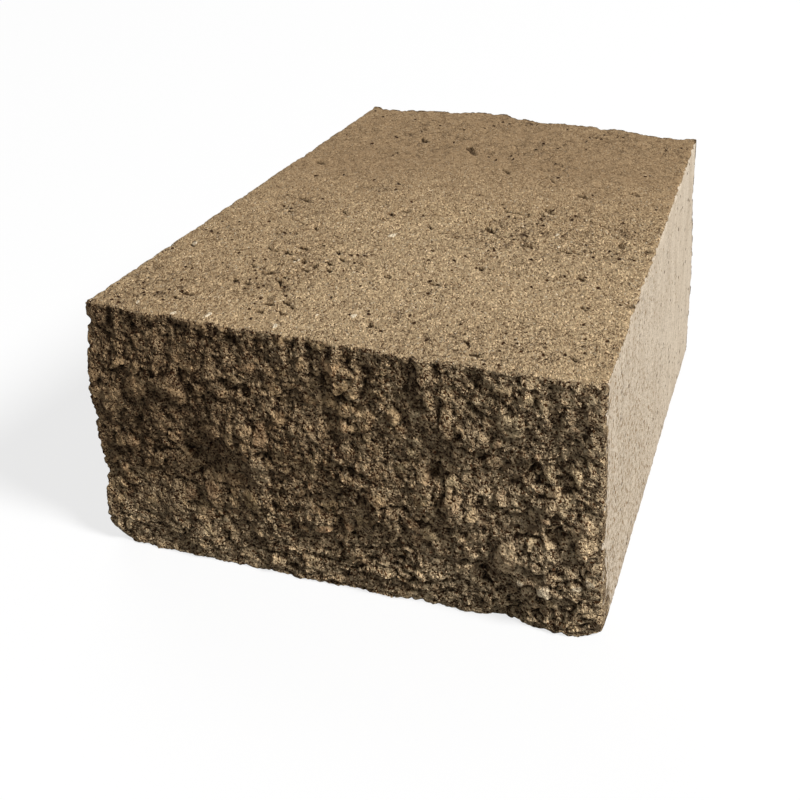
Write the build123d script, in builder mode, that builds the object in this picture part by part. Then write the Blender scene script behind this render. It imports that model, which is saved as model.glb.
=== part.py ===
from build123d import *
import os
from math import cos, exp, pi, radians, sin

# Garden wall block, pressed from dry concrete as one solid piece.
# Seen from above it is a wedge: wide at the face, narrower at the tail.
# The face was split from its twin, so it is rough, and the tail is a shallower rough break.
# The two side walls were formed by the mould, and the top and the bed are flat.
# x runs along the face, y runs back into the wall and z is up.
# The origin is on the bed, under the middle of the block. Sizes are in millimetres.

# Overall sizes, between the mean planes of the rough ends
face_width = 197.0
tail_width = 148.0
depth = 219.0
height = 102.0

# Long edges of the mould-formed side walls
top_edge_radius = 1.2
bed_edge_radius = 2.0

# Rough ends: the waves keep this share of their height along the top and bed edges,
# where the break follows the splitting blades
edge_share = 0.5

# Split face: how far it swells out between its top and bed edges
face_belly = 1.2

# Waves of the broken surfaces: (length, height, heading and phase in degrees)
face_waves = [
    (74.0, 0.5, 72.0, 210.0),
    (49.0, 0.5, -38.0, 95.0),
    (37.0, 0.5, 8.0, 300.0),
    (29.0, 0.45, 103.0, 20.0),
    (24.0, 0.4, 51.0, 160.0),
]
tail_waves = [
    (96.0, 0.6, -20.0, 120.0),
    (58.0, 0.5, 64.0, 15.0),
    (39.0, 0.45, 12.0, 250.0),
    (27.0, 0.35, 110.0, 70.0),
]

# Lumps that stand out and hollows that broke away, the crumbled corners among them:
# (side, how far in from it, level, how far from it, stand-out, reach)
face_lumps = [
    ("left", 0.0, "bed", 0.0, -3.8, 6.0),
    ("right", 0.0, "bed", 0.0, -5.0, 5.0),
    ("left", 0.0, "top", 3.0, -3.5, 14.0),
    ("right", 0.0, "top", 0.0, -1.5, 6.0),
    ("left", 0.0, "bed", 65.0, 1.2, 14.0),
    ("left", 0.0, "bed", 38.0, -2.6, 13.0),
    ("left", 40.0, "bed", 49.0, -2.6, 12.0),
    ("left", 57.0, "bed", 60.0, 1.8, 11.0),
    ("left", 102.0, "top", 28.0, -2.4, 11.0),
    ("left", 108.0, "bed", 22.0, -1.8, 10.0),
    ("right", 60.0, "bed", 59.0, -2.2, 10.0),
    ("right", 62.0, "top", 15.0, 1.4, 12.0),
    ("right", 36.0, "bed", 63.0, -2.0, 9.0),
    ("right", 15.0, "top", 25.0, -2.0, 9.0),
    ("right", 30.0, "bed", 30.0, 1.8, 12.0),
    ("right", 44.0, "bed", 19.0, -2.0, 8.0),
    ("right", 37.0, "bed", 0.0, -3.5, 7.0),
    ("right", 10.0, "bed", 6.0, 1.4, 11.0),
]
tail_lumps = [
    ("left", 0.0, "bed", 0.0, -3.0, 9.0),
    ("right", 0.0, "bed", 0.0, -3.0, 9.0),
    ("left", 8.0, "top", 0.0, -4.0, 15.0),
    ("left", 56.0, "top", 0.0, 4.5, 12.0),
    ("right", 17.0, "top", 0.0, -3.0, 11.0),
    ("right", 0.0, "top", 22.0, -3.5, 14.0),
    ("right", 0.0, "bed", 36.0, 4.0, 20.0),
    ("left", 30.0, "bed", 45.0, -2.5, 18.0),
    ("left", 75.0, "bed", 30.0, 2.0, 16.0),
]

# Cutting sheets: spacing of the points they pass through, and their overhang past the block
sheet_step = 4.0
sheet_overhang = 15.0


def wave_relief(x, z, waves):
    """Sum of straight waves, each running across the surface on its own heading."""
    total = 0.0
    for length, rise, heading, phase in waves:
        along = x * cos(radians(heading)) + z * sin(radians(heading))
        total += rise * sin(2 * pi * along / length + radians(phase))
    return total


def lump_relief(x, z, width, lumps):
    """Sum of round swellings and hollows, each fading out over its own reach."""
    total = 0.0
    for side, inset, level, offset, stand_out, reach in lumps:
        lump_x = width / 2 - inset if side == "right" else inset - width / 2
        lump_z = height - offset if level == "top" else offset
        total += stand_out * exp(-((x - lump_x) ** 2 + (z - lump_z) ** 2) / reach**2)
    return total


def mid_height(z):
    """Zero on the top and bed edges, one halfway between them."""
    return sin(pi * min(max(z / height, 0.0), 1.0))


def face_relief(x, z):
    """How far the split face stands out in front of its mean plane."""
    waves = wave_relief(x, z, face_waves) * (edge_share + (1 - edge_share) * mid_height(z))
    return face_belly * mid_height(z) + waves + lump_relief(x, z, face_width, face_lumps)


def tail_relief(x, z):
    """How far the broken tail stands out behind its mean plane."""
    waves = wave_relief(x, z, tail_waves) * (edge_share + (1 - edge_share) * mid_height(z))
    return waves + lump_relief(x, z, tail_width, tail_lumps)


def rough_sheet(width, mean_y, outward, relief):
    """Wavy upright sheet through a grid of points, wider and taller than the block."""
    columns = round((width + 2 * sheet_overhang) / sheet_step)
    rows = round((height + 2 * sheet_overhang) / sheet_step)
    points = []
    for column in range(columns + 1):
        x = (column / columns - 0.5) * (width + 2 * sheet_overhang)
        line = []
        for row in range(rows + 1):
            z = row / rows * (height + 2 * sheet_overhang) - sheet_overhang
            line.append((x, mean_y + outward * relief(x, z), z))
        points.append(line)
    return Face.make_surface_from_array_of_points(points)


# The mould is longer than the block at both ends, so that each rough end is a real break
end_allowance = sheet_overhang
taper = (face_width - tail_width) / 2 / depth
face_end_half = face_width / 2 + taper * end_allowance
tail_end_half = tail_width / 2 - taper * end_allowance
face_end_y = -depth / 2 - end_allowance
tail_end_y = depth / 2 + end_allowance

face_sheet = rough_sheet(face_width, -depth / 2, -1, face_relief)
tail_sheet = rough_sheet(tail_width, depth / 2, 1, tail_relief)

with BuildPart() as wall_block:
    with BuildSketch():
        with BuildLine():
            Polyline(
                (-face_end_half, face_end_y),
                (face_end_half, face_end_y),
                (tail_end_half, tail_end_y),
                (-tail_end_half, tail_end_y),
                close=True,
            )
        make_face()
    extrude(amount=height)

    long_edges = wall_block.edges().filter_by(lambda edge: edge.length > depth)
    bed_edges, top_edges = long_edges.group_by(Axis.Z)
    fillet(bed_edges, bed_edge_radius)
    fillet(top_edges, top_edge_radius)

    split(bisect_by=face_sheet, keep=Keep.BOTTOM)
    split(bisect_by=tail_sheet, keep=Keep.TOP)

wall_block.part.label = "wall_block"
os.makedirs("parts", exist_ok=True)
export_step(wall_block.part, "parts/wall_block.step")
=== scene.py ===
import functools
import math
import bpy
import numpy as np
from mathutils import Matrix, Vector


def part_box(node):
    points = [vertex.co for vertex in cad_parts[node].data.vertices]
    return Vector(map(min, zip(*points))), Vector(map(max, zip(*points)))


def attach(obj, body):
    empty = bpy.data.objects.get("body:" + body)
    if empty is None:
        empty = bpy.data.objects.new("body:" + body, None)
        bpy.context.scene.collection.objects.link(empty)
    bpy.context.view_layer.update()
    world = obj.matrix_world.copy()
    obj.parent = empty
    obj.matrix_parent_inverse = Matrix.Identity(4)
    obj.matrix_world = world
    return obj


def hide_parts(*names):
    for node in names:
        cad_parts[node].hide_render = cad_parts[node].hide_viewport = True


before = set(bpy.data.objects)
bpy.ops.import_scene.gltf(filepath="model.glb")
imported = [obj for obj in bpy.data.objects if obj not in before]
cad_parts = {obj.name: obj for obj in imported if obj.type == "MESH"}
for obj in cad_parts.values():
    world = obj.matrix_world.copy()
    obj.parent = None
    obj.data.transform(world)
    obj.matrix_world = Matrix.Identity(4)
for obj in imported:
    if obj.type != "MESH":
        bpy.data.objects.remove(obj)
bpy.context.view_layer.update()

# A garden wall block of pressed concrete, one piece. The CAD node gives its size and the
# large relief of its two broken ends. One closed skin stands for it here, with the stones,
# crevices, pits and worn edges of the real surface. Lengths are in millimetres, and mm
# turns them into metres.

mm = 0.001
lowCorner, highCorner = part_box("wall_block")
blockHeight = (highCorner.z - lowCorner.z) / mm

# The wedge seen from above, between the mean planes of its broken ends
wedge = {"faceWidth": 197, "tailWidth": 148, "depth": 219}


# Mixed bits for each whole-number corner: its numbers are multiplied by large odd numbers
# and folded together by shifts.
def mixBits(corner, seed):
    c = corner.astype(np.int64).astype(np.uint32)
    bits = c[..., 0] * np.uint32(73856093) ^ c[..., 1] * np.uint32(19349663)
    bits = bits ^ c[..., 2] * np.uint32(83492791)
    bits = bits + np.uint32(seed * 40503 % 65536 * 2713 + seed)
    bits = (bits ^ (bits >> np.uint32(15))) * np.uint32(739982445)
    bits = (bits ^ (bits >> np.uint32(12))) * np.uint32(695872825)
    return bits ^ (bits >> np.uint32(15))


# Three numbers from 0 to 1 for each corner, from ten bits each.
def cornerNumbers(corner, seed):
    bits = mixBits(corner, seed)
    return np.stack([(bits >> np.uint32(s)) & np.uint32(1023) for s in (0, 10, 20)], -1) / 1023


# Smooth noise, about -1 to 1: every corner of a unit grid has a slope, which gives a height
# at the point, and the eight heights are blended by 6t^5 - 15t^4 + 10t^3.
def smoothNoise(points, seed):
    cell = np.floor(points)
    t = points - cell
    fade = t ** 3 * (t * (t * 6 - 15) + 10)
    total = np.zeros(points.shape[:-1])
    for offset in np.ndindex(2, 2, 2):
        offset = np.array(offset)
        slope = cornerNumbers(cell + offset, seed) * 2 - 1
        total += np.where(offset == 1, fade, 1 - fade).prod(-1) * ((t - offset) * slope).sum(-1)
    return total * 1.6


# Noise in octaves, each half as wide and half as high as the one before.
def roughNoise(points, size, octaves, seed):
    total = np.zeros(points.shape[:-1])
    for octave in range(octaves):
        total += smoothNoise(points / size * 2 ** octave, seed + octave * 17) / 2 ** octave
    return total


# The same noise times a height.
def reliefNoise(points, noise, octaves, seed):
    return roughNoise(points, noise["size"], octaves, seed) * noise["height"]


# 0 below the start, 1 above the end, and 3t^2 - 2t^3 between them.
def easeStep(values, start, end):
    t = np.clip((values - start) / (end - start), 0, 1)
    return t * t * (3 - 2 * t)


# Blurs a sheet of heights by a Gaussian of the given width in cells, mirrored at its edges.
def blurSheet(sheet, width):
    pad = int(width * 3) + 1
    wide = np.pad(sheet, pad, mode="reflect")
    fx = np.fft.fftfreq(wide.shape[0])[:, None]
    fy = np.fft.fftfreq(wide.shape[1])
    window = np.exp(-2 * (math.pi * width) ** 2 * (fx ** 2 + fy ** 2))
    return np.fft.ifft2(np.fft.fft2(wide) * window).real[pad:-pad, pad:-pad]


# How far a point is from a stone's middle, in the stone's own half widths: the greatest of
# its distances along five uneven directions, so the outline has five blunt sides.
def stoneRadius(across, up, turn, squash):
    first = across * np.cos(turn) + up * np.sin(turn)
    second = (up * np.cos(turn) - across * np.sin(turn)) * squash
    radius = np.full(np.broadcast(first, second).shape, -1e9)
    for side in range(5):
        angle = 2 * math.pi * side / 5 + 0.45 * np.sin(turn * (side + 3) * 7)
        reach = 1 + 0.28 * np.sin(turn * (side + 2) * 11)
        radius = np.maximum(radius, (first * np.cos(angle) + second * np.sin(angle)) * reach)
    return np.sqrt(0.75 * radius ** 2 + 0.25 * (first ** 2 + second ** 2))


plainTones = 0.94  # the tones of plain stones run up to here, and 1 is a bare pale stone


# A layer of stones on a sheet: each square cell may hold one at a random place. A stone's
# height is (1 - r^power) to the power 1/2, and its top leans. The highest counts.
def stoneLayer(a, b, stones, seed):
    at = np.stack([a, b, np.zeros_like(a)], -1) / stones["pitch"]
    cell = np.floor(at)
    height = np.zeros(a.shape)
    tone = np.zeros(a.shape)
    least, most = stones["lift"]
    narrow, wide = stones["girth"]
    for step in np.ndindex(3, 3):
        corner = cell + np.array([step[0] - 1, step[1] - 1, 0])
        place = cornerNumbers(corner, seed)
        kind = cornerNumbers(corner, seed + 101)
        lean = cornerNumbers(corner, seed + 202) * 2 - 1
        across, up, _ = np.moveaxis(at - corner - place, -1, 0)
        girth = narrow + (wide - narrow) * kind[..., 1]
        r = stoneRadius(across, up, place[..., 2] * math.pi, 1 + 0.5 * kind[..., 0]) / girth
        dome = np.sqrt(np.clip(1 - r ** stones["power"], 0, 1))
        tilt = 1 + stones["lean"] * (lean[..., 0] * across + lean[..., 1] * up) / girth
        there = lean[..., 2] * 0.5 + 0.5 < stones["share"]
        stone = np.where(there, (least + (most - least) * kind[..., 2]) * dome * tilt, 0)
        ownTone = (kind[..., 2] * 7.3 + place[..., 0] * 3.1) % plainTones
        tone = np.where(stone > height, ownTone, tone)
        height = np.maximum(height, stone)
    return height, tone


# Stones or hollows at given places, each (across, up, width, length, lift), as high as the
# square root of 1 - r^power, and slanted by so much across for each step up. The greatest
# at a point counts.
def placedLayer(a, b, places, power, slant=0):
    if not places:
        return np.zeros_like(a), np.zeros_like(a)
    x, z, width, tall, lift = (column[:, None, None] for column in np.array(places, float).T)
    turn = (x * 0.37 + z * 0.21) % 3
    across, up = a - x, b - z
    r = stoneRadius((across + slant * up) * 2 / width, up * 2 / tall, turn * 0.2, 1)
    dome = np.sqrt(np.clip(1 - r ** power, 0, 1))
    tilt = 1 + 0.25 * (np.sin(turn * 9) * across / width + np.cos(turn * 7) * up / tall)
    stone = lift * dome * tilt
    which = stone.argmax(0)
    height = np.take_along_axis(stone, which[None], 0)[0]
    tones = (turn[:, 0, 0] * 5.7) % plainTones
    return height, tones[which]


# Split concrete: a mix of sand and crushed stone up to 10 mm pulled apart, so mortar-coated
# stones stand out of it or have left their sockets, in clumps with deep gaps between them
split = {
    "clumps": {
        "pitch": 14, "share": 0.85, "lift": (0.3, 2.0), "girth": (0.35, 0.6), "power": 2, "lean": 0.7},
    "rubble": {
        "pitch": 6.6, "share": 0.75, "lift": (0.3, 1.9), "girth": (0.3, 0.5), "power": 2.8, "lean": 0.9},
    "gravel": {
        "pitch": 3.3, "share": 0.75, "lift": (0.2, 1.2), "girth": (0.3, 0.5), "power": 2.6, "lean": 0.9},
    "grit": {
        "pitch": 1.9, "share": 0.9, "lift": (0.1, 0.7), "girth": (0.32, 0.5), "power": 2, "lean": 0.8},
    "crumbs": {"size": 1.8, "height": 0.6},
    "push": {"size": 9, "height": 1.8},  # noise that bends the outlines of the stones
    "flutes": {"width": 5.5, "length": 30, "depth": 1.6, "reach": 28},
    "notches": {"width": 4.5, "length": 12, "depth": 0.9, "reach": 12},
    "ledges": {"step": 6, "length": 30, "depth": 1.2, "reach": 34},
    "flakes": {"step": 3.3, "length": 18, "depth": 0.8, "reach": 22},
    "cracks": {"size": 21, "depth": 0.8, "width": 0.08},
    "mortar": {"size": 5, "height": 0.75},
    "calm": {"middle": (-76, 22), "reach": (20, 14), "share": 0.55},  # finer part at the lower left
    "topBand": (30, 6),  # near the top edge the stones get lower, from the one depth to the other
    "bedBand": (34, 10),  # and near the bed edge
    "gapShare": 0.65,  # share of the listed depth of a gap
    "fineShare": 0.6,
    "level": 60,  # blur in cells that keeps the relief about its mean plane
}

# The larger stones that stand out of the face: x, z, width, height, lift
faceStones = [
    (-60, 72, 6, 8, 2.2), (-52, 75, 5, 5, 1.5), (-28, 61, 5, 9, 2.0), (-35, 62, 8, 6, 2.0),
    (-41, 58, 5, 7, 1.4), (-32, 46, 11, 10, 2.4), (-51, 38, 9, 6, 2.2), (-43, 39, 8, 5, 2.0),
    (-34, 33, 6, 8, 1.8), (-55, 21, 6, 9, 1.4), (-65, 52, 4, 5, 2.0), (1, 94, 8, 5, 1.6),
    (-9, 78, 5, 4, 1.6), (-24, 82, 6, 5, 1.4), (-66, 75, 7, 7, 1.6), (-79, 72, 10, 9, 1.8),
    (-90, 65, 10, 11, 1.8), (-2, 37, 4, 4, 1.6), (-69, 59, 7, 9, 1.4), (-49, 59, 9, 6, 2.0),
    (-17, 53, 13, 10, 2.0), (-9, 54, 5, 5, 2.2), (43, 80, 4, 11, 2.2), (66, 82, 8, 7, 2.4),
    (48, 77, 4, 4, 1.8), (14, 75, 5, 7, 1.6), (23, 78, 6, 5, 1.8), (89, 67, 4, 7, 2.0),
    (43, 50, 3, 8, 2.0), (52, 45, 4, 5, 2.2), (35, 32, 6, 6, 2.2), (29, 36, 5, 5, 1.6),
    (8, 32, 4, 5, 1.8), (34, 55, 4, 6, 1.8), (60, 66, 4, 7, 2.0), (39, 26, 6, 6, 2.2),
    (50, 28, 5, 5, 2.2), (64, 28, 8, 12, 2.4), (78, 18.5, 4, 4.5, 2.0), (94, 25, 5, 5, 1.6),
    (78, 48, 4, 4, 1.8), (81, 55, 5, 5, 1.8), (92, 44, 10, 11, 1.8), (6, 15, 6, 7, 1.8),
    (15, 11, 9, 5, 1.8), (72, 93, 4, 6, 1.6), (78, 92, 5, 7, 1.6), (9, 86, 4, 6, 1.8),
    (72, 15, 5, 5, 1.6),
]
facePaleStones = [
    (78, 18.5, 4.8, 5.2, 2.4), (94, 25, 4, 4, 1.6), (90, 22, 3.4, 3, 1.4), (69.5, 20, 3, 3, 1.6),
]

# The larger gaps in the face, where stones were pulled out, then those just under its top
# arris: x, z, width, height, depth
faceGaps = [
    (-59, 48, 7, 9, 1.9), (-48, 53, 8, 5, 1.8), (-73, 46, 9, 5, 1.6), (-57, 39, 6, 4, 1.6),
    (-63, 33, 16, 2, 1.6), (-38, 78, 11, 3, 1.6), (-79, 57, 5, 8, 1.6), (-3, 33, 7, 8, 2.2),
    (-20, 75, 6, 10, 2.2), (-1, 66, 9, 12, 2.4), (39, 58, 7, 8, 2.6), (40, 44, 7, 8, 2.2),
    (74, 64, 7, 8, 2.4), (85, 63, 7, 7, 2.0), (83, 42, 9, 10, 2.4), (56, 18, 5, 12, 2.6),
    (56, 49, 11, 3, 2.2), (70, 40, 11, 2, 1.8), (23, 24, 12, 5, 2.2), (5, 54, 6, 9, 2.0),
    (52, 69, 8, 5, 2.2), (67, 6, 8, 5, 2.2), (50, 23, 12, 2, 1.6), (20, 40, 14, 2, 1.4),
    (-88, 98, 6, 12, 1.7), (-70, 96, 9, 12, 1.7), (-60, 97, 4, 9, 1.4), (-48, 98, 4, 8, 1.2),
    (-37, 98, 7, 11, 1.7), (-27, 96, 9, 13, 1.8), (-16, 99, 4, 9, 1.4), (-6, 96, 6, 14, 1.7),
    (7, 99, 7, 16, 1.8), (17, 99, 4, 7, 1.2), (29, 95, 8, 18, 1.9), (33, 86, 8, 10, 1.6),
    (41, 99, 6, 10, 1.6), (53, 99, 6, 10, 1.7), (62, 96, 6, 12, 1.6), (69, 99, 4, 7, 1.2),
    (65, 89, 8, 8, 1.5), (86, 97, 4, 8, 1.2),
]


# Sawtooth ledges over x and z: (z / step + wander) mod 1, less a half, times the depth. They
# show where a noise is high and fade out above their reach.
def ledgeRelief(x, z, at, ledges, seed):
    stretched = np.stack([x / ledges["length"], at[..., 1], z / ledges["step"] / 2], -1)
    wander = smoothNoise(stretched, seed)
    saw = ((z / ledges["step"] + wander * 1.8) % 1 - 0.5) * ledges["depth"]
    shown = easeStep(smoothNoise(at / 24, seed + 1), -0.25, 0.3)
    return saw * shown * (1 - easeStep(z, ledges["reach"] * 0.3, ledges["reach"]))


# Upright flutes over x and z: a noise drawn out along z, from the top edge to their reach.
def fluteRelief(x, z, at, flutes, seed):
    drawn = np.stack([x / flutes["width"], at[..., 1], z / flutes["length"]], -1)
    fade = easeStep(z, blockHeight - flutes["reach"], blockHeight - flutes["reach"] * 0.2)
    return smoothNoise(drawn, seed) * flutes["depth"] * fade


# Relief of a broken end over x and z: clumps, stones of three sizes, crumbs and mortar, less
# the listed gaps and cracks where a noise is zero, plus upright flutes under the top edge
# and ledges over the bed. It gives the coarse and the fine part, each less its own blur, the
# tones, and how bare each stone is of mortar.
def brokenRelief(x, z, seed, stones, paleStones, gaps):
    at = np.stack([x, np.full_like(x, seed * 37), z], -1)
    pushX, pushZ = (reliefNoise(at, split["push"], 3, seed + n) for n in (1, 2))
    a, b = x + pushX, z + pushZ
    clumps, _ = stoneLayer(a, b, split["clumps"], seed + 3)
    hollow, _ = placedLayer(x + pushX * 1.3, z + pushZ * 1.3, gaps, 2.0)
    rubble, tone = stoneLayer(a + 0.5 * pushZ, b, split["rubble"], seed + 4)
    placed, placedTone = placedLayer(x + pushX * 0.4, z + pushZ * 0.4, stones, 3.0)
    pale, _ = placedLayer(x, z, paleStones, 3.0)
    tone = np.where(placed > rubble, placedTone, tone)
    rubble = np.maximum(np.maximum(rubble, placed), pale)
    gravel, gravelTone = stoneLayer(x + 0.4 * pushZ, b, split["gravel"], seed + 5)
    grit, _ = stoneLayer(x, z + 0.3 * pushX, split["grit"], seed + 6)
    crumbs = reliefNoise(at, split["crumbs"], 2, seed + 13)
    mortar = reliefNoise(at, split["mortar"], 3, seed + 12)
    crackLine = smoothNoise(at / split["cracks"]["size"], seed + 10) / split["cracks"]["width"]
    cracking = np.exp(-crackLine ** 2) * easeStep(smoothNoise(at / 30, seed + 11), -0.3, 0.3)
    nearTop = 1 - easeStep(blockHeight - z, split["topBand"][1], split["topBand"][0])
    nearBed = 1 - easeStep(z, split["bedBand"][1], split["bedBand"][0])
    coarse = clumps * (0.9 - 0.4 * nearTop - 0.2 * nearBed) - hollow * split["gapShare"] + mortar
    coarse += fluteRelief(a, z, at, split["flutes"], seed + 7)
    coarse += fluteRelief(x + 0.5 * pushX, z, at, split["notches"], seed + 14)
    coarse += ledgeRelief(a, b, at, split["ledges"], seed + 8)
    coarse += ledgeRelief(x, b, at, split["flakes"], seed + 15)
    coarse -= cracking * split["cracks"]["depth"]
    onStone = easeStep(rubble, 0.4, 0.9)
    onGravel = easeStep(gravel, 0.4, 0.8)
    fine = rubble * (1 - 0.35 * nearTop) + gravel * (1 - 0.7 * onStone)
    fine += (grit + crumbs) * (1 - 0.65 * onStone) * (1 - 0.4 * onGravel)
    bareness = np.maximum(onStone, onGravel * 0.7)
    calmX, calmZ = split["calm"]["middle"]
    reachX, reachZ = split["calm"]["reach"]
    calm = np.exp(-((x - calmX) / reachX) ** 2 - ((z - calmZ) / reachZ) ** 2)
    share = 1 - split["calm"]["share"] * calm
    tone = np.where(rubble > 0.6, tone, np.where(gravel > 0.6, gravelTone, 0.5))
    bareness *= 0.4 + 0.6 * (tone * 7.7 % 1)
    tone = np.where(pale > 0.3, 1.0, tone)
    coarse = (coarse - blurSheet(coarse, split["level"])) * share
    fine = (fine - blurSheet(fine, split["level"])) * share * split["fineShare"]
    return coarse, fine, tone, bareness


# Troweled by the press: flat, with open pits in patches and a few stones standing proud,
# each in a shallow moat
flatFace = {
    "pits": {
        "pitch": 2.4, "share": 0.32, "lift": (0.25, 0.75), "girth": (0.25, 0.48), "power": 2, "lean": 0.9},
    "pebbles": {
        "pitch": 9, "share": 0.35, "lift": (0.2, 0.7), "girth": (0.25, 0.45), "power": 3, "lean": 0.5},
    "push": {"size": 3, "height": 0.9},
    "moat": 1.18,  # how much wider a stone's moat is than the stone
    "patch": 26,  # size of the more and the less open patches
    "openings": 4,  # size of the open spots in a patch
    "waves": {"size": 45, "height": 0.15},
    "placedShare": 0.85,  # share of the listed depth of a pit
    "slant": 0.8,  # the press drags the pits this far to one side for each step along y
}
# Parts of the top that are more open: x, y, reach along x, reach along y
topOpenParts = [(-40, -62, 26, 26), (52, -8, 40, 28), (-78, -88, 16, 18), (40, -92, 30, 14)]

# The larger pits in the top: x, y, width, length, depth
topPits = [
    (-53, -46, 2.7, 2.7, 1.5), (-50.5, -46.5, 2.2, 2.7, 1.5), (-45, -47, 2.7, 4.5, 1.8),
    (-41, -42, 4, 3.2, 1.8), (-40, -52.5, 2.7, 2.9, 1.5), (-36, -53.5, 3, 2.9, 1.8),
    (-37, -71, 2.7, 5.3, 2), (-37.5, -66.5, 2.2, 2.7, 1.5), (-45, -65.5, 4.8, 2.4, 1.5),
    (-52.5, -61.5, 2.7, 2.9, 1.5), (-30.5, -55.5, 2.2, 4.1, 1.5), (-26, -52, 3, 3.1, 1.8),
    (-23.5, -58, 2.8, 3.1, 1.8), (-32, -59.5, 2.2, 2.9, 1.2), (-48.5, -75, 3.2, 3.2, 1.9),
    (-53.5, -74.5, 2.5, 2.9, 1.6), (-32.5, -88, 3.8, 2.7, 1.8), (-27, -86.5, 2.5, 3.6, 1.6),
    (-24, -89, 2.7, 2.3, 1.5), (-25.5, -93.5, 2.5, 2.7, 1.9), (-1, -54.5, 3.6, 3.4, 1.9),
    (-27, -42.5, 2.2, 3.4, 1.5), (-22.5, -48, 1.8, 3.6, 1.4), (-83.5, -52, 2.7, 4.1, 1.6),
    (-44, -23.5, 2.2, 2.5, 1.6), (-21, -4.5, 2.5, 3.2, 1.6), (-33.5, -94, 3.2, 3.1, 1.5),
    (8.5, -92.5, 3.1, 4.1, 1.8), (-17, -1, 3.5, 2.5, 1.4), (-39.5, -7, 1.9, 3.1, 1.4),
    (-60, 1.5, 3.6, 4.5, 1.2), (-67.5, -94, 2.5, 4.1, 1.6), (-65, -90, 4.8, 3.2, 1.5),
    (-71, 41, 4.6, 4.1, 1.2), (-61, -10.5, 3.6, 2.3, 1.1), (-37.5, 74, 3.1, 4.9, 1.5),
    (-14, 66, 4, 5.3, 1.8), (8.5, 51.5, 2.2, 4.9, 1.4), (45, 36.5, 5.6, 4.1, 1.5),
    (25.5, 14, 10.7, 2.4, 1.5), (37, 19.5, 3.7, 4.5, 1.5), (35.5, 15.5, 2.3, 3.2, 1.4),
    (21, -5, 3.7, 5.3, 1.8), (38, -13, 4.5, 4.5, 1.9), (-2, -10, 2.8, 3.6, 1.5),
    (73.5, -3, 2.7, 3.6, 1.5), (67, -34.5, 3.1, 3.6, 1.8), (74.5, -56.5, 3, 3.4, 1.9),
    (82.5, -93, 2.7, 3.1, 1.8), (29.5, -37.5, 2.2, 3.4, 1.5), (45, -93.5, 2.5, 4.5, 1.6),
    (50, -101, 4.7, 3.6, 1.8), (90, -51, 4.8, 2.7, 1.2), (17.5, -54.5, 5.1, 2.7, 1.6),
    (57, -14.5, 10.2, 2, 1.4), (83.5, -5.5, 5.2, 2.4, 1.4), (65, 46, 5.6, 2.7, 1.2),
]

# Stones that show in the top, then the small pale ones: x, y, width, length, lift
topStones = [
    (27.5, 45.5, 7, 8, 0.5), (53.5, 48.5, 6, 6, 0.2), (-50, 13.5, 9, 11, 0.25),
    (-57.5, 20, 6, 7, 0.3), (-65, 7, 7, 8, 0.25), (-64.5, -47, 5, 6, 0.3),
    (-3.5, -26, 6, 7, 0.3), (1, 74, 7, 9, 0.3), (0.5, 29, 6, 6, 0.25),
]
topPaleStones = [
    (47.5, -2, 2, 3, 0.3), (51, -12, 2, 2.5, 0.3), (-12.5, -23, 3, 4, 0.3),
    (-83, -51, 2.5, 3.5, 0.4), (-79, -102, 2, 3, 0.3), (-62.5, -107, 2.5, 3, 0.3),
    (-49.5, -102.5, 2.5, 4, 0.3), (0, -88, 2.5, 3, 0.3), (-12.5, -92, 2, 2.5, 0.3),
    (-23, -103.5, 2.5, 3, 0.3), (-38.5, -53.5, 2.5, 3.5, 0.4),
]


# Relief of the top or the bed over x and y: low waves plus stones, less a moat round each,
# which is how far a slightly wider copy of the stone stands above it, less the listed pits
# and scattered ones where the surface is open. It gives the relief, the tones and how open
# the surface is.
def flatRelief(x, y, seed, pitShare, pits, openParts, stones, paleStones):
    at = np.stack([x, y, np.full_like(x, seed * 37)], -1)
    push = reliefNoise(at, flatFace["push"], 2, seed + 1)
    waves = reliefNoise(at, flatFace["waves"], 2, seed + 6)
    slant, moat = flatFace["slant"], flatFace["moat"]
    a, b = x + push * 0.6, y + push * 0.6
    scattered, _ = stoneLayer(x + push + slant * y, y - push, flatFace["pits"], seed + 2)
    placed, _ = placedLayer(a, b, pits, 1.2, slant)
    pebbles, tone = stoneLayer(x + push, y + push, flatFace["pebbles"], seed + 3)
    widest = [share * moat for share in flatFace["pebbles"]["girth"]]
    wider, _ = stoneLayer(x + push, y + push, {**flatFace["pebbles"], "girth": widest}, seed + 3)
    shown, shownTone = placedLayer(a, b, stones, 4.0)
    wide = [(*place, width * moat, length * moat, lift) for *place, width, length, lift in stones]
    shownWide, _ = placedLayer(a, b, wide, 4.0)
    pale, _ = placedLayer(x + push * 0.4, y + push * 0.4, paleStones, 3.0)
    moats = np.clip(wider - pebbles, 0, None) * 0.35 + np.clip(shownWide - shown, 0, None) * 1.2
    patch = 0.08 + 0.4 * easeStep(roughNoise(at, flatFace["patch"], 3, seed + 4), 0, 0.5)
    for partX, partY, reachX, reachY in openParts:
        patch += 0.5 * np.exp(-((x - partX) / reachX) ** 2 - ((y - partY) / reachY) ** 2)
    patch = np.clip(patch, 0, 1)
    opened = easeStep(roughNoise(at, flatFace["openings"], 2, seed + 5), -0.15, 0.25)
    relief = waves + pebbles * 0.25 + shown * 0.6 + pale - moats - placed * flatFace["placedShare"]
    relief -= scattered * opened * patch * pitShare
    tone = np.where(shown > 0.05, shownTone, np.where(pebbles > 0.1, tone, 0.5))
    return relief, np.where(pale > 0.05, 1.0, tone), patch * (0.3 + 0.7 * opened)


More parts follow.
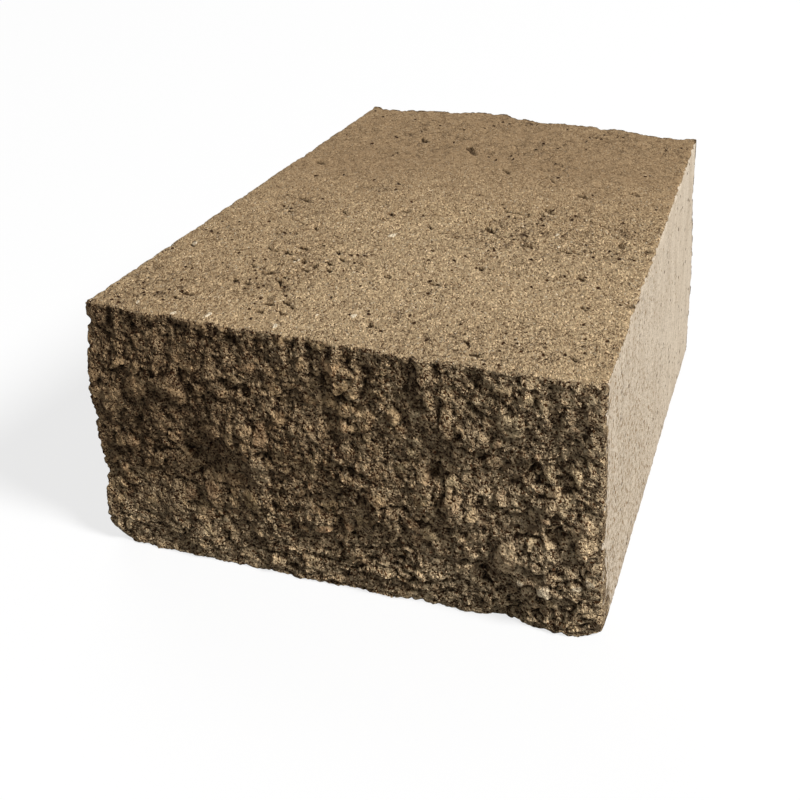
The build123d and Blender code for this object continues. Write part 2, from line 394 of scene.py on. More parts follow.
# Reads one broken end of the CAD node: a flat grid held clear of it is projected onto it
# along y, and the y of its points comes back as a sheet, enlarged by straight lines.
def readEnd(width, outward, cellsX, cellsZ):
    columns, rows = 64, 34
    inset = 2.2  # clears the rounded long edges
    x = np.linspace(inset - width / 2, width / 2 - inset, columns)
    z = np.linspace(0.4, blockHeight - 0.4, rows)
    gridX, gridZ = np.meshgrid(x, z, indexing="ij")
    away = np.full_like(gridX, wedge["depth"] * 0.7 * outward)
    number = np.arange(columns * rows).reshape(columns, rows)
    feeler = makeObject("feeler", np.stack([gridX, away, gridZ], -1).reshape(-1, 3), gridFaces(number))
    wrap = feeler.modifiers.new("wrap", "SHRINKWRAP")
    wrap.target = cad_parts["wall_block"]
    wrap.wrap_method = "PROJECT"
    wrap.use_project_y = True
    wrap.use_positive_direction = outward < 0
    wrap.use_negative_direction = outward > 0
    felt = finalMesh(feeler)
    points = np.zeros(columns * rows * 3, np.float32)
    felt.vertices.foreach_get("co", points)
    sheet = points.reshape(columns, rows, 3)[..., 1].astype(float) / mm
    bpy.data.objects.remove(feeler)
    bpy.data.meshes.remove(felt)
    newX = np.linspace(-width / 2, width / 2, cellsX + 1)
    newZ = np.linspace(0, blockHeight, cellsZ + 1)
    wide = np.array([np.interp(newX, x, column) for column in sheet.T]).T
    return blurSheet(np.array([np.interp(newZ, z, row) for row in wide]), 3)


# Four-cornered faces between the numbered points of a grid.
def gridFaces(numbers):
    corners = [numbers[:-1, :-1], numbers[1:, :-1], numbers[1:, 1:], numbers[:-1, 1:]]
    return np.stack(corners, -1).reshape(-1, 4)


# An object of points in millimetres and four-cornered faces.
def makeObject(name, points, faces):
    mesh = bpy.data.meshes.new(name)
    mesh.vertices.add(len(points))
    mesh.vertices.foreach_set("co", (points * mm).astype(np.float32).ravel())
    mesh.loops.add(faces.size)
    mesh.loops.foreach_set("vertex_index", faces.astype(np.int32).ravel())
    mesh.polygons.add(len(faces))
    mesh.polygons.foreach_set("loop_start", np.arange(0, faces.size, 4, dtype=np.int32))
    mesh.update(calc_edges=True)
    return addObject(name, mesh)


def addObject(name, data):
    thing = bpy.data.objects.new(name, data)
    bpy.context.scene.collection.objects.link(thing)
    return thing


def finalMesh(thing):
    bpy.context.view_layer.update()
    graph = bpy.context.evaluated_depsgraph_get()
    made = thing.evaluated_get(graph)
    return bpy.data.meshes.new_from_object(made, preserve_all_data_layers=True, depsgraph=graph)


# Half the width of the block at a given y.
def halfWidth(y):
    back = (y + wedge["depth"] / 2) / wedge["depth"]
    return (wedge["faceWidth"] + (wedge["tailWidth"] - wedge["faceWidth"]) * back) / 2


# How deep each point lies under its surroundings, as a share of the given depth: 0.65 of the
# near ones and 0.35 of the far ones, less the point.
def hollowness(sheet, cell, near, far, depth):
    around = 0.65 * blurSheet(sheet, near / cell) + 0.35 * blurSheet(sheet, far / cell)
    return np.clip((around - sheet) / depth, -1, 1)


# The skin of the block before it is thinned
skin = {
    "cells": (440, 300, 228),  # along x, y and z
    "restTriangles": 56000,  # on the tail, the bed and the walls, once thinned
    "mostTriangles": 197000,
    "longRadius": (1.2, 2.0),  # rounding of the long edges at the top and at the bed
    "endRadius": 0.25,  # rounding of the edges of the broken ends
    "fade": 4,  # depth under its surface at which a relief or a rounding has faded out
    "wear": {"sizes": (5, 2.2), "growth": 0.8},  # how far the rounding grows where it is worn
    "corner": {"reach": 7, "growth": 2.2},  # and at the crumbled corners of the face on the bed
    "chips": {"size": 3.6, "depth": 1.9},  # out of the arrises
    "wallWaves": {"size": 12, "height": 0.12},
    "droop": 0.4,  # how far down the stones of the face lean, as a share of their relief
    "sideHold": 0.35,  # share of an end's relief kept along its side arrises
    "topHold": (0.65, 0.6),  # of the coarse and the fine relief, along its top arris
    "bedHold": (0.5, 0.5),
    "spill": {"flat": 0.9, "face": 3.5, "low": 8, "tail": 1.5},  # of the broken look past an arris
    "endDips": (0.7, 2.2, 0.95),  # near and far blur, and the depth of a full hollow
    "flatDips": (0.8, 2.0, 0.7),
}


# The whole block: a box of grid corners is bent to the wedge. A corner's y runs from the
# face sheet to the tail sheet, its x is its share of the half width there, and the reliefs
# of top, bed and walls push it in or out where it lies near them.
def buildBlock():
    nx, ny, nz = skin["cells"]
    shell = np.zeros((nx + 1, ny + 1, nz + 1), bool)
    shell[[0, -1]] = True
    shell[:, [0, -1]] = True
    shell[:, :, [0, -1]] = True
    number = np.zeros(shell.shape, np.int32)
    number[shell] = np.arange(shell.sum())
    i, j, k = np.nonzero(shell)
    faces = np.concatenate([
        gridFaces(number[:, 0]), gridFaces(number[:, -1])[:, ::-1],
        gridFaces(number[:, :, -1]), gridFaces(number[:, :, 0])[:, ::-1],
        gridFaces(number[-1]), gridFaces(number[0])[:, ::-1],
    ])

    # The sheets: the broken ends over x and z, then top and bed over x and y
    u, v, w = i / nx, j / ny, k / nz
    faceX, endZ = np.meshgrid(
        np.linspace(-0.5, 0.5, nx + 1) * wedge["faceWidth"],
        np.linspace(0, blockHeight, nz + 1), indexing="ij")
    tailX = faceX * wedge["tailWidth"] / wedge["faceWidth"]
    faceCoarse, faceFine, faceTone, faceBare = brokenRelief(
        faceX, endZ, 5, faceStones, facePaleStones, faceGaps)
    tailCoarse, tailFine, tailTone, tailBare = brokenRelief(tailX, endZ, 71, [], [], [])
    tailFine = blurSheet(tailFine, 1)
    inside = easeStep(wedge["faceWidth"] / 2 - np.abs(faceX), 0, 7)
    sideShare = skin["sideHold"] + (1 - skin["sideHold"]) * inside
    topNear = 1 - easeStep(blockHeight - endZ, 0, 5)
    bedNear = 1 - easeStep(endZ, 0, 6)
    coarseShare, fineShare = (
        sideShare * (1 - (1 - top) * topNear - (1 - bed) * bedNear)
        for top, bed in zip(skin["topHold"], skin["bedHold"]))
    faceRelief = faceCoarse * coarseShare + faceFine * fineShare
    tailRelief = (tailCoarse * coarseShare + tailFine * fineShare) * (0.95 + 0.15 * topNear)
    faceY = readEnd(wedge["faceWidth"], -1, nx, nz) - faceRelief
    tailY = readEnd(wedge["tailWidth"], 1, nx, nz) + tailRelief
    print("broken ends laid out, relief", round(float(np.ptp(faceRelief)), 1), "mm")
    flatY = np.linspace(-0.5, 0.5, ny + 1) * wedge["depth"]
    flatX = np.linspace(-1, 1, nx + 1)[:, None] * halfWidth(flatY)
    flatYs = np.broadcast_to(flatY, flatX.shape)
    topRelief, topTone, topOpen = flatRelief(
        flatX, flatYs, 11, 1, topPits, topOpenParts, topStones, topPaleStones)
    bedRelief, bedTone, bedOpen = flatRelief(flatX, flatYs, 23, 0.6, [], [], [], [])
    bedRelief = blurSheet(bedRelief, 1)
    print("top and bed laid out, relief", round(float(np.ptp(topRelief)), 1), "mm")

    # Place of every corner
    y = faceY[i, k] * (1 - v) + tailY[i, k] * v
    x = (2 * u - 1) * halfWidth(y)
    z = w * blockHeight
    at = np.stack([x, y, z], -1)
    wallDepth = halfWidth(y) - np.abs(x)
    endDepth = np.minimum(y - faceY[i, k], tailY[i, k] - y)
    flatDepth = np.minimum(z, blockHeight - z)
    wideWear, fineWear = skin["wear"]["sizes"]
    worn = easeStep(roughNoise(at, wideWear, 3, 51), 0, 0.8)
    worn += easeStep(roughNoise(at, fineWear, 2, 55), 0.1, 0.9)
    fromCorner = (wallDepth ** 2 + endDepth ** 2 + z ** 2) / skin["corner"]["reach"] ** 2
    crumbled = np.exp(-fromCorner) * (y < 0)
    topShare = easeStep(z / blockHeight, 0.3, 0.7)
    longRadius = skin["longRadius"][1] * (1 - topShare) + skin["longRadius"][0] * topShare
    fade = skin["fade"]
    endShare = 1 - easeStep(endDepth, 0, fade)
    radius = longRadius * (1 - endShare) + skin["endRadius"] * endShare
    radius += worn * skin["wear"]["growth"] + crumbled * skin["corner"]["growth"]
    depths = np.stack([wallDepth, endDepth, flatDepth], -1)
    inward = np.stack([-np.sign(x), np.where(y < 0, 1, -1), np.where(w > 0.5, -1, 1)], -1)
    short = np.clip(radius[:, None] - depths, 0, None)
    length = np.linalg.norm(short, axis=1, keepdims=True)
    drawn = radius[:, None] * (1 - short / np.maximum(length, 1e-9))
    points = at + np.where(short > 0, drawn - depths, 0) * inward
    flatRise = np.where(w > 0.5, topRelief[i, j], -bedRelief[i, j])
    points[:, 2] += flatRise * easeStep(fade - flatDepth, 0, fade)
    wall = reliefNoise(at * [0.2, 1, 0.55], skin["wallWaves"], 3, 61)
    points[:, 0] += np.sign(x) * wall * easeStep(fade - wallDepth, 0, fade)
    # Chips out of the arrises, cut inwards, the deepest round the broken ends
    chipping = np.clip(roughNoise(at, skin["chips"]["size"], 3, 53) + 0.15, 0, 1)
    chipping *= skin["chips"]["depth"]
    atEnd = 1 - easeStep(endDepth, 0.5, 4)
    atLong = 0.4 * (1 - easeStep(flatDepth, 0.5, 3))
    chipped = np.maximum(atEnd * np.where(y < 0, 1, 0.5), atLong)
    points[:, 0] -= np.sign(x) * chipping * chipped * (1 - easeStep(wallDepth, 0.3, 2.5))
    atFlat = (1 - easeStep(endDepth, 0.2, 1.6)) * (1 - easeStep(flatDepth, 0.3, 2))
    points[:, 2] -= np.where(w > 0.5, 1, -1) * chipping * atFlat * 0.5
    points[:, 2] = np.clip(points[:, 2], 0.02, None)
    # Stones of the face lean over what lies under them
    droop = faceRelief - blurSheet(faceRelief, 8)
    points[:, 2] -= np.where(j == 0, skin["droop"] * droop[i, k] * easeStep(flatDepth, 1, 5), 0)

    # What the material reads at each point: reach is above zero on a broken end and where it
    # spills round an arris, rim is the distance down the wall from an arris in mm, hollow,
    # tone and bareness follow the relief, and hollow is painted as shade, opened is the share
    # of pores, and the last value is painted shade below zero and painted light above it on
    # the ends and flats, and on the walls it sets how marked the skin is
    faceCell = blockHeight / nz
    flatCell = wedge["depth"] / ny
    spills = skin["spill"]
    wallSpill = np.where(y < 0, spills["face"] + spills["low"] * easeStep(z, 45, 0), spills["tail"])
    spill = spills["flat"] + easeStep(wallDepth, 3, 0) * wallSpill
    reach = np.where(endDepth < 1e-6, 3, np.clip(1 - endDepth / spill, -6, 1))
    rim = np.clip(np.where(wallDepth < 1e-6, flatDepth, -wallDepth), -6, 6)
    isEnd = (j == 0) | (j == ny)
    isFlat = (k == 0) | (k == nz)

    # Each point's value, from the sheet that it lies on
    def fromSheets(ends, flats, wall):
        onEnd = np.where(v < 0.5, ends[0][i, k], ends[1][i, k])
        onFlat = np.where(w > 0.5, flats[0][i, j], flats[1][i, j])
        return np.where(isEnd, onEnd, np.where(isFlat, onFlat, wall))

    endHollows = [hollowness(each, faceCell, *skin["endDips"]) for each in (faceRelief, tailRelief)]
    flatHollows = [hollowness(each, flatCell, *skin["flatDips"]) for each in (topRelief, bedRelief)]
    hollow = fromSheets(endHollows, flatHollows, 0)
    tone = fromSheets((faceTone, tailTone), (topTone, bedTone), 0.5)
    bareness = fromSheets((faceBare, tailBare), np.zeros((2, nx + 1, ny + 1)), 0)
    openWall = 0.1 + 0.15 * easeStep(roughNoise(at, 20, 2, 87), 0, 0.5)
    opened = fromSheets(np.zeros((2, nx + 1, nz + 1)), (topOpen, bedOpen), openWall)
    # Painted light and shade: the face is painted darker at its upper left and paler at the
    # right and low down, the top is painted darker towards the tail and the left, and the walls
    # are most marked low down at the face
    facePaintedLight = -1.1 * easeStep(x, 40, -80) * easeStep(z, 0, 60)
    facePaintedLight += easeStep(x, 0, 90) * (1 - 0.35 * w) + 0.7 * easeStep(z, 45, 5)
    topPaintedLight = 0.2 - 1.7 * easeStep(y, -30, 110) - 0.45 * easeStep(x, 0, -70)
    wallMarking = 1.3 * easeStep(y, 90, -110) * (0.4 + 0.6 * easeStep(z, 90, 0)) - 0.3
    wallMarking = np.minimum(wallMarking, 0.3)
    weather = np.where(isEnd, facePaintedLight, np.where(isFlat, topPaintedLight, wallMarking))

    block = makeObject("splitFaceBlock", points, faces)
    marks = {
        "reach": reach, "rim": rim, "hollow": hollow, "tone": tone,
        "bareness": bareness, "opened": opened, "weather": weather,
    }
    for name, values in marks.items():
        layer = block.data.attributes.new(name, "FLOAT", "POINT")
        layer.data.foreach_set("value", values.astype(np.float32))

    # Thinned in two steps, so that most triangles stay on the face and the top
    front = (j == 0) | (k == nz)
    kept = skin["restTriangles"] + 2 * nx * (nz + ny)  # the rest thinned, the front not yet
    steps = {"rest": (~front, kept / (2 * len(faces))), "front": (front, skin["mostTriangles"] / kept)}
    for name, (chosen, ratio) in steps.items():
        block.vertex_groups.new(name=name).add(np.nonzero(chosen)[0].tolist(), 1, "REPLACE")
        thin = block.modifiers.new(name, "DECIMATE")
        thin.ratio = ratio
        thin.vertex_group = name
        thin.use_collapse_triangulate = True
    thinned = finalMesh(block)
    block.modifiers.clear()
    block.vertex_groups.clear()
    block.data = thinned
    thinned.name = "splitFaceBlock"

    # Broken stone has crisp facets, and the rest is smooth
    reachNow = np.zeros(len(thinned.vertices), np.float32)
    thinned.attributes["reach"].data.foreach_get("value", reachNow)
    triangles = np.zeros(len(thinned.loops), np.int32)
    thinned.loops.foreach_get("vertex_index", triangles)
    smooth = reachNow[triangles.reshape(-1, 3)].mean(1) < 1
    thinned.polygons.foreach_set("use_smooth", smooth)
    print("block skinned,", len(thinned.polygons), "triangles")
    return block


def linear(hexColour):
    parts = [int(hexColour[n:n + 2], 16) / 255 for n in (1, 3, 5)]
    return [p / 12.92 if p <= 0.04045 else ((p + 0.055) / 1.055) ** 2.4 for p in parts] + [1]


# Adds a shader node with its settings and inputs. An input given as a node is linked to that
# node's first output in use, one given as (node, output) to that output, and any other is a
# value.
def addNode(tree, kind, inputs=None, **settings):
    node = tree.nodes.new("ShaderNode" + kind)
    for name, value in settings.items():
        setattr(node, name, value)
    for name, value in (inputs or {}).items():
        if isinstance(value, tuple) and isinstance(value[0], bpy.types.Node):
            tree.links.new(value[0].outputs[value[1]], node.inputs[name])
        elif isinstance(value, bpy.types.Node):
            tree.links.new(next(out for out in value.outputs if out.enabled), node.inputs[name])
        else:
            node.inputs[name].default_value = value
    return node


# Empties the node tree of a material or a world, and gives addNode for that tree.
def clearTree(owner):
    owner.use_nodes = True
    owner.node_tree.nodes.clear()
    return functools.partial(addNode, owner.node_tree)


# Dry-pressed concrete, tinted tan: sand grains in cement paste, dull all over. Against the
# mould it has a paler skin of cement, with upright drag marks and small open pores. Where
# it was split, the paste and the stones show, with painted shade in the gaps and hollows.
concrete = {
    "pasteDark": "#866D50",
    "paste": "#B99B73",
    "pastePale": "#DAC4A0",
    # Darker than the paste: partly the broken matrix's own colour, partly painted shade for the
    # self-shadowing of the rough face
    "split": "#A88C66",
    "skin": "#D2C3AE",
    "skinMark": "#8C7353",
    # This and the next are painted shade for hollows, and for crevices, pores and seams; the speck colour
    # is a darker grain tone
    "hollowShade": "#503D29",  # this and the next two darken what they lie on
    "crevice": "#5A4028",
    "speck": "#6B4A2A",
    "stoneGrey": "#8E7B56",
    "stonePink": "#B08862",
    "stonePale": "#C2AD88",
    "quartz": "#DED0B6",
    "push": 0.9,  # how far the outlines of the grains are pushed about, in mm
    "bump": 0.85,  # height of the grains in mm
    "roughness": 0.92,
}

# Sizes of what shows in it, in mm
grainSizes = {
    "border": 4,  # raggedness where the broken surface and the mould's skin end
    "sand": 1.15,  # sand grains, drawn about twice their usual size so that they show
    "dust": 0.55,
    "fine": 0.8,
    "wobble": 1.6,  # pushes the outlines of the grains about
    "crumbs": 1.3,
    "loose": 3.5,  # looser spots
    "gravel": 2.7,  # small stones in the broken surface
    "seams": 5.2,  # stones whose outlines show in the flat surfaces
    "pores": 2.3,  # spacing of the small open pores
    "marks": 1.7,  # brown marks on the mould's skin
    "streaks": 6,  # and its upright clouds
    "patch": 14,
}


# Adds the product of each (value, share) pair to a start value.
def addShares(add, start, *pairs):
    for value, share in pairs:
        start = add("Math", {0: value, 1: share, 2: start}, operation="MULTIPLY_ADD")
    return start


# In a colour Mix node, input 0 is the factor, and 6 and 7 are the two colours.
def makeConcrete():
    material = bpy.data.materials.new("dryPressedConcrete")
    add = clearTree(material)
    tint = {name: linear(value) for name, value in concrete.items() if isinstance(value, str)}
    scale = {name: 1 / (size * mm) for name, size in grainSizes.items()}
    at = (add("TexCoord"), "Object")
    reach, rim, hollow, tone, bareness, opened, weather = (
        (add("Attribute", attribute_name=name), "Fac")
        for name in ("reach", "rim", "hollow", "tone", "bareness", "opened", "weather"))

    # Noises, some drawn out by the drag of the press and one drawn out upright
    dragged = add(
        "Mapping", {"Vector": at, "Rotation": (0, 0, 0.54), "Scale": (1, 1.4, 1)}, vector_type="TEXTURE")
    upright = add("Mapping", {"Vector": at, "Scale": (1, 1, 0.3)})
    noises = {
        "border": (at, 3, 0.6), "patch": (at, 3, 0.5), "marks": (at, 4, 0.7),
        "wobble": (dragged, 1, 0.5), "fine": (dragged, 2, 0.6), "crumbs": (dragged, 4, 0.75),
        "loose": (dragged, 2, 0.5), "streaks": (upright, 2, 0.5),
    }
    border, patch, marks, wobble, fine, crumbs, loose, streaks = (
        add("TexNoise", {"Vector": place, "Scale": scale[name], "Detail": detail, "Roughness": rough})
        for name, (place, detail, rough) in noises.items())
    # Cells with pushed outlines: the grains, the small stones and the pores
    shove = add("VectorMath", {0: (wobble, "Color"), 1: (concrete["push"] * mm,) * 3}, operation="MULTIPLY")
    pushed = add("VectorMath", {0: dragged, 1: shove}, operation="ADD")
    sand, dust, gravel, pores = (
        add("TexVoronoi", {"Vector": pushed, "Scale": scale[name]})
        for name in ("sand", "dust", "gravel", "pores"))
    sandKind, dustKind, gravelKind, poreKind = (
        add("SeparateColor", {0: (cells, "Color")}) for cells in (sand, dust, gravel, pores))

    # Broken surface, spilling raggedly round the arrises, and the mould's skin, which stops
    # raggedly short of the long edges
    raggedReach = addShares(add, reach, (border, 5.0))
    broken = add("MapRange", {"Value": raggedReach, "From Min": 2.35, "From Max": 2.65})
    raggedRim = addShares(add, rim, (border, -3.5))
    walled = add("MapRange", {"Value": raggedRim, "From Min": -1.6, "From Max": -1.2})
    unbroken = add("Math", {0: 1.0, 1: broken}, operation="SUBTRACT")
    mould = add("Math", {0: walled, 1: unbroken}, operation="MULTIPLY")

    # The tone of the grains, and the gaps between crumbs, painted dark as shade and wider where the
    # concrete is loose
    grainTone = add("Mix", {0: 0.72, 2: (sandKind, 0), 3: (dustKind, 1)})
    tight = addShares(add, crumbs, (loose, -0.35))
    between = add("MapRange", {"Value": tight, "From Min": 0.29, "From Max": 0.25})
    # Small stones in the broken surface, with painted shade in the corners between them
    outer = addShares(add, (gravel, "Distance"), (fine, 0.4))
    corner = add("MapRange", {"Value": outer, "From Min": 0.8, "From Max": 0.9, "To Max": 0.6})
    stoneTop = add(
        "MapRange", {"Value": outer, "From Min": 0.5, "From Max": 0.85, "To Min": 0.6, "To Max": 0.0})
    corner, stoneTop = (
        add("Math", {0: part, 1: broken}, operation="MULTIPLY") for part in (corner, stoneTop))

    # Paste with its sand, a few grains of it nearly white
    shade = add("MapRange", {"Value": grainTone, "From Min": 0.2, "From Max": 0.8})
    paste = add("Mix", {0: shade, 6: tint["pasteDark"], 7: tint["pastePale"]}, data_type="RGBA")
    plain = addShares(add, 0.6, (broken, -0.3))
    paste = add("Mix", {0: plain, 6: paste, 7: tint["paste"]}, data_type="RGBA")
    white = add("MapRange", {"Value": (dustKind, 2), "From Min": 0.97, "From Max": 0.98, "To Max": 0.6})
    paste = add("Mix", {0: white, 6: paste, 7: tint["quartz"]}, data_type="RGBA")
    # Stones, more or less coated with paste, most of them in the split colour, which is partly painted
    # shade
    stones = add("ValToRGB", {"Fac": tone})
    band = stones.color_ramp
    band.elements[0].color = tint["stoneGrey"]
    band.elements[1].color = tint["stonePale"]
    for position, name in ((0.3, "split"), (0.7, "split"), (0.8, "stonePink"), (0.88, "stonePale")):
        band.elements.new(position).color = tint[name]
    cleaned = addShares(add, 0.3, (bareness, 0.5))
    coated = add("Mix", {0: cleaned, 6: paste, 7: stones}, data_type="RGBA")
    body = add("Mix", {0: broken, 6: paste, 7: coated}, data_type="RGBA")
    bare = add("MapRange", {"Value": tone, "From Min": 0.95, "To Max": 0.85})
    body = add("Mix", {0: bare, 6: body, 7: tint["quartz"]}, data_type="RGBA")
    # Large clouds of darker paste, then painted shade and painted light: darker paste where the
    # value runs below zero and paler paste where it runs above zero
    darker = add("MapRange", {"Value": patch, "From Min": 0.4, "From Max": 0.75, "To Max": 0.22})
    paintedShade = add("MapRange", {"Value": weather, "From Max": -1.0, "To Max": 0.65})
    paintedLight = add("MapRange", {"Value": weather, "To Max": 0.45})
    for factor, name in ((darker, "pasteDark"), (paintedShade, "pasteDark"), (paintedLight, "pastePale")):
        body = add("Mix", {0: factor, 6: body, 7: tint[name]}, data_type="RGBA")

    # The mould's skin: small brown marks where it is thin, most of them low down towards the
    # face, and upright clouds
    denser = addShares(add, marks, (weather, 0.12))
    dashes = add("MapRange", {"Value": denser, "From Min": 0.57, "From Max": 0.61})
    clouds = add("MapRange", {"Value": streaks, "From Min": 0.4, "From Max": 0.8, "To Max": 0.3})
    cement = tint["skin"]
    for factor in (clouds, dashes):
        cement = add("Mix", {0: factor, 6: cement, 7: tint["skinMark"]}, data_type="RGBA")
    body = add("Mix", {0: mould, 6: body, 7: cement}, data_type="RGBA")

    # Pores: cells that hold one where the surface is open, with a ragged outline, painted dark as shade in
    # the hole
    limit = add("Math", {0: opened, 1: 0.5}, operation="MULTIPLY")
    holds = add("Math", {0: (poreKind, 0), 1: limit}, operation="LESS_THAN")
    outline = addShares(add, (pores, "Distance"), (fine, 0.5))
    shape = add("MapRange", {"Value": outline, "From Min": 0.58, "From Max": 0.46})
    pore = add("Math", {0: holds, 1: shape}, operation="MULTIPLY")
    # Seams: parts of the outlines of the stones that lie just under a flat surface, drawn as thin lines of
    # painted shade
    outlines = add("TexVoronoi", {"Vector": pushed, "Scale": scale["seams"]}, feature="DISTANCE_TO_EDGE")
    seam = add("MapRange", {"Value": outlines, "From Min": 0.09, "From Max": 0.04})
    seamPart = add("MapRange", {"Value": loose, "From Min": 0.5, "From Max": 0.6})
    seam = add("Math", {0: seam, 1: seamPart}, operation="MULTIPLY")
    seamLimit = add("Math", {0: opened, 1: 0.6}, operation="MULTIPLY", use_clamp=True)
    seam = add("Math", {0: seam, 1: seamLimit}, operation="MULTIPLY")
    pore = add("Math", {0: pore, 1: seam}, operation="MAXIMUM")

    # Painted shade: dark where the surface lies under its surroundings
    sunkShade = add("MapRange", {"Value": hollow, "From Min": 0.05, "From Max": 0.55, "To Max": 0.84})
    # Specks: a few of the dust cells are dark, more of them where the surface is broken or
    # open and fewer on bare stones
    calmInPaintedShade = add("Math", {0: paintedShade, 1: unbroken}, operation="MULTIPLY")
    contrast = addShares(add, 1.0, (mould, -0.65), (calmInPaintedShade, -0.8), (bare, -0.7))
    contrast.use_clamp = True
    kind = addShares(add, (dustKind, 1), (broken, -0.2), (opened, -0.1), (bareness, 0.15))
    dark = add("MapRange", {"Value": kind, "From Min": 0.14, "From Max": 0.05, "To Max": 0.95})
    dark = add("Math", {0: dark, 1: contrast}, operation="MULTIPLY")
    pepper = addShares(add, 0.75, (broken, 0.25))
    dark = add("Math", {0: dark, 1: pepper}, operation="MULTIPLY")
    # Painted shade in the gaps between the grains, which are wider in hollows, and between the small stones
    openness = addShares(
        add, 0.2, (broken, 0.2), (opened, 0.35), (hollow, 0.6),
        (bareness, -0.25), (bare, -0.6), (mould, -0.2))
    openness.use_clamp = True
    between = add("Math", {0: between, 1: openness}, operation="MULTIPLY")
    between = add("Math", {0: between, 1: corner}, operation="MAXIMUM")
    for factor, name in ((pore, "crevice"), (sunkShade, "hollowShade"), (dark, "speck"), (between, "crevice")):
        body = add("Mix", {0: factor, 6: body, 7: tint[name]}, data_type="RGBA", blend_type="MULTIPLY")
    # A few dust cells are pale, and so are bare stones, each small stone by its own share
    pale = add("MapRange", {"Value": (dustKind, 1), "From Min": 0.84, "From Max": 0.94})
    pale = add("Math", {0: pale, 1: contrast}, operation="MULTIPLY")
    own = add("MapRange", {"Value": (gravelKind, 0), "To Min": -0.03, "To Max": 0.25})
    gain = addShares(add, 1.0, (pale, 0.5), (bareness, 0.22), (own, broken), (bare, 0.35))
    gains = add("CombineColor", {0: gain, 1: gain, 2: gain})
    body = add("Mix", {0: 1.0, 6: body, 7: gains}, data_type="RGBA", blend_type="MULTIPLY")

    # Grain height: least on the mould's skin, low on bare stones and where the flat surfaces
    # carry painted shade, and most where the concrete was split
    sandTop, dustTop = (
        add("MapRange", {"Value": (cells, "Distance"), "From Max": 0.8, "To Min": 1.0, "To Max": 0.0})
        for cells in (sand, dust))
    crumbHeight = addShares(add, 0.3, (broken, 0.7))
    grains = addShares(add, fine, (sandTop, 1.0), (dustTop, 1.0), (stoneTop, 1.0), (crumbs, crumbHeight))
    raised = addShares(
        add, 0.48, (broken, 0.4), (opened, 0.2), (mould, -0.33), (bareness, -0.45), (calmInPaintedShade, -0.55))
    raised.use_clamp = True
    height = add("Math", {0: grains, 1: raised}, operation="MULTIPLY")
    height = addShares(add, height, (pore, -1.2), (between, -0.6))
    bump = add("Bump", {"Height": height, "Distance": concrete["bump"] * mm})
    shader = add("BsdfPrincipled", {
        "Base Color": body, "Normal": bump, "Roughness": concrete["roughness"],
        "IOR": 1.5, "Specular IOR Level": 0.1})
    add("OutputMaterial", {"Surface": shader})
    print("concrete mixed,", len(material.node_tree.nodes), "nodes")
    return material


# Where the photograph was taken from, fitted to the block's edges
view = {
    "azimuth": 23.652, "elevation": 30.016, "roll": -2.7,
    "distance": 728.017, "lens": 77.925, "target": (-22.037, 0, 15.731),
}


# Puts a camera or a lamp at a spot, with its back turned along back.
def turnTo(thing, side, top, back, spot):
    matrix = np.eye(4)
    matrix[:3, :] = np.stack([side, top, back, spot], -1)
    thing.matrix_world = Matrix(matrix.tolist())


def placeCamera():
    azimuth, elevation, roll = (math.radians(view[name]) for name in ("azimuth", "elevation", "roll"))
    level = math.cos(elevation)
    back = np.array([math.sin(azimuth) * level, -math.cos(azimuth) * level, math.sin(elevation)])
    right = np.cross(-back, (0, 0, 1))
    right /= np.linalg.norm(right)
    up = np.cross(right, -back)
    side = right * math.cos(roll) + up * math.sin(roll)
    top = up * math.cos(roll) - right * math.sin(roll)
    spot = (np.array(view["target"]) + back * view["distance"]) * mm
    camera = addObject("camera", bpy.data.cameras.new("camera"))
    camera.data.lens = view["lens"]
    camera.data.clip_start = 0.01
    turnTo(camera, side, top, back, spot)
    bpy.context.scene.camera = camera
    print("camera placed")


# Area lamps: level is the light that they give on a white face turned to them, so that a
# colour renders as written at 1. A lamp's power is level times pi^2 times distance^2.
lamps = {
    "key": {"toward": (0.70, -0.18, 0.68), "distance": 5.5, "size": 1.6, "level": 1.2},
    "fill": {"toward": (-0.55, 0.65, 0.6), "distance": 3.0, "size": 2.0, "level": 0.2},
}
ambient = 0.128


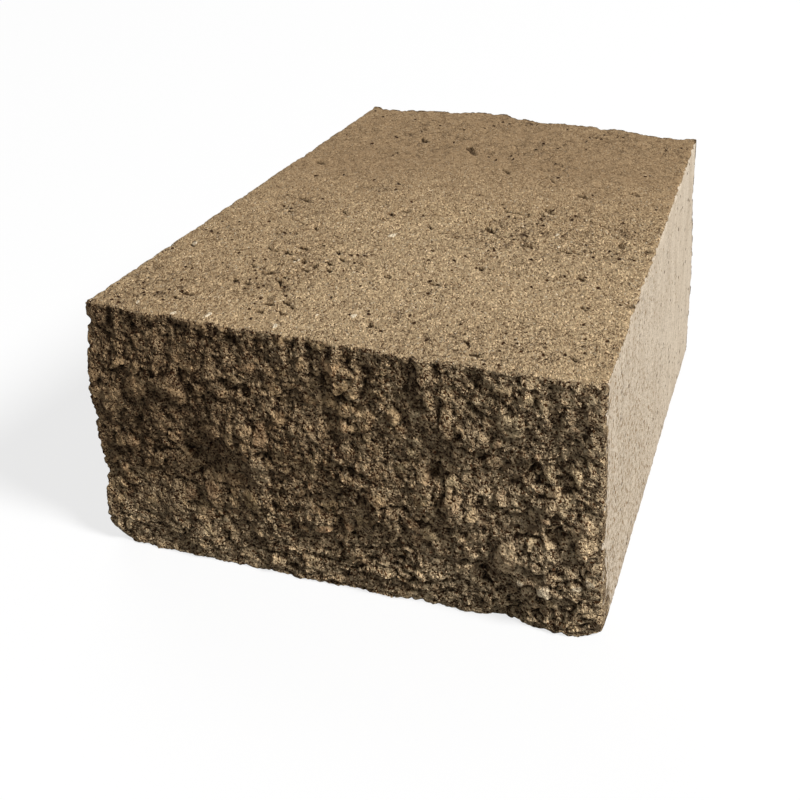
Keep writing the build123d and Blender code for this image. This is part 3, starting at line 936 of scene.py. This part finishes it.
def placeLights():
    for name, lamp in lamps.items():
        toward = np.array(lamp["toward"]) / np.linalg.norm(lamp["toward"])
        light = bpy.data.lights.new(name, "AREA")
        light.shape = "DISK"
        light.size = lamp["size"]
        light.energy = lamp["level"] * math.pi ** 2 * lamp["distance"] ** 2
        across = np.cross((0, 1, 0.01), toward)
        across /= np.linalg.norm(across)
        up = np.cross(toward, across)
        turnTo(addObject(name, light), across, up, toward, toward * lamp["distance"])
    world = bpy.data.worlds.new("studio")
    bpy.context.scene.world = world
    add = clearTree(world)
    path = add("LightPath")
    seen = add("Math", {0: (path, "Is Camera Ray"), 1: (path, "Is Glossy Ray")}, operation="MAXIMUM")
    seen = add("Math", {0: seen, 1: (path, "Is Transmission Ray")}, operation="MAXIMUM")
    strength = add("MapRange", {"Value": seen, "To Min": ambient})
    back = add("Background", {"Color": (1, 1, 1, 1), "Strength": strength})
    add("OutputWorld", {"Surface": back})
    print("lights placed,", len(lamps), "lamps")


# White paper: seen by the camera it is partly lit of itself, so that the block's shadow on
# it stays faint
paper = {"side": 8000, "bounce": 0.35, "seen": 1.0, "lit": 0.75}


def makeFloor():
    half = paper["side"] / 2
    corners = np.array([(-half, -half, 0), (half, -half, 0), (half, half, 0), (-half, half, 0)])
    floor = makeObject("floor", corners, np.array([[0, 1, 2, 3]]))
    material = bpy.data.materials.new("whitePaper")
    add = clearTree(material)
    path = add("LightPath")
    limits = {"Value": (path, "Is Camera Ray"), "To Min": paper["bounce"], "To Max": paper["seen"]}
    matt = add("BsdfDiffuse", {"Color": add("MapRange", limits)})
    glow = add("Emission")
    share = add("Math", {0: (path, "Is Camera Ray"), 1: paper["lit"]}, operation="MULTIPLY")
    add("OutputMaterial", {"Surface": add("MixShader", {0: share, 1: matt, 2: glow})})
    floor.data.materials.append(material)
    print("floor laid")


placeCamera()
placeLights()
makeFloor()
block = buildBlock()
block.data.materials.append(makeConcrete())
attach(block, "root")
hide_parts("wall_block")
bpy.context.scene.view_settings.view_transform = "Standard"
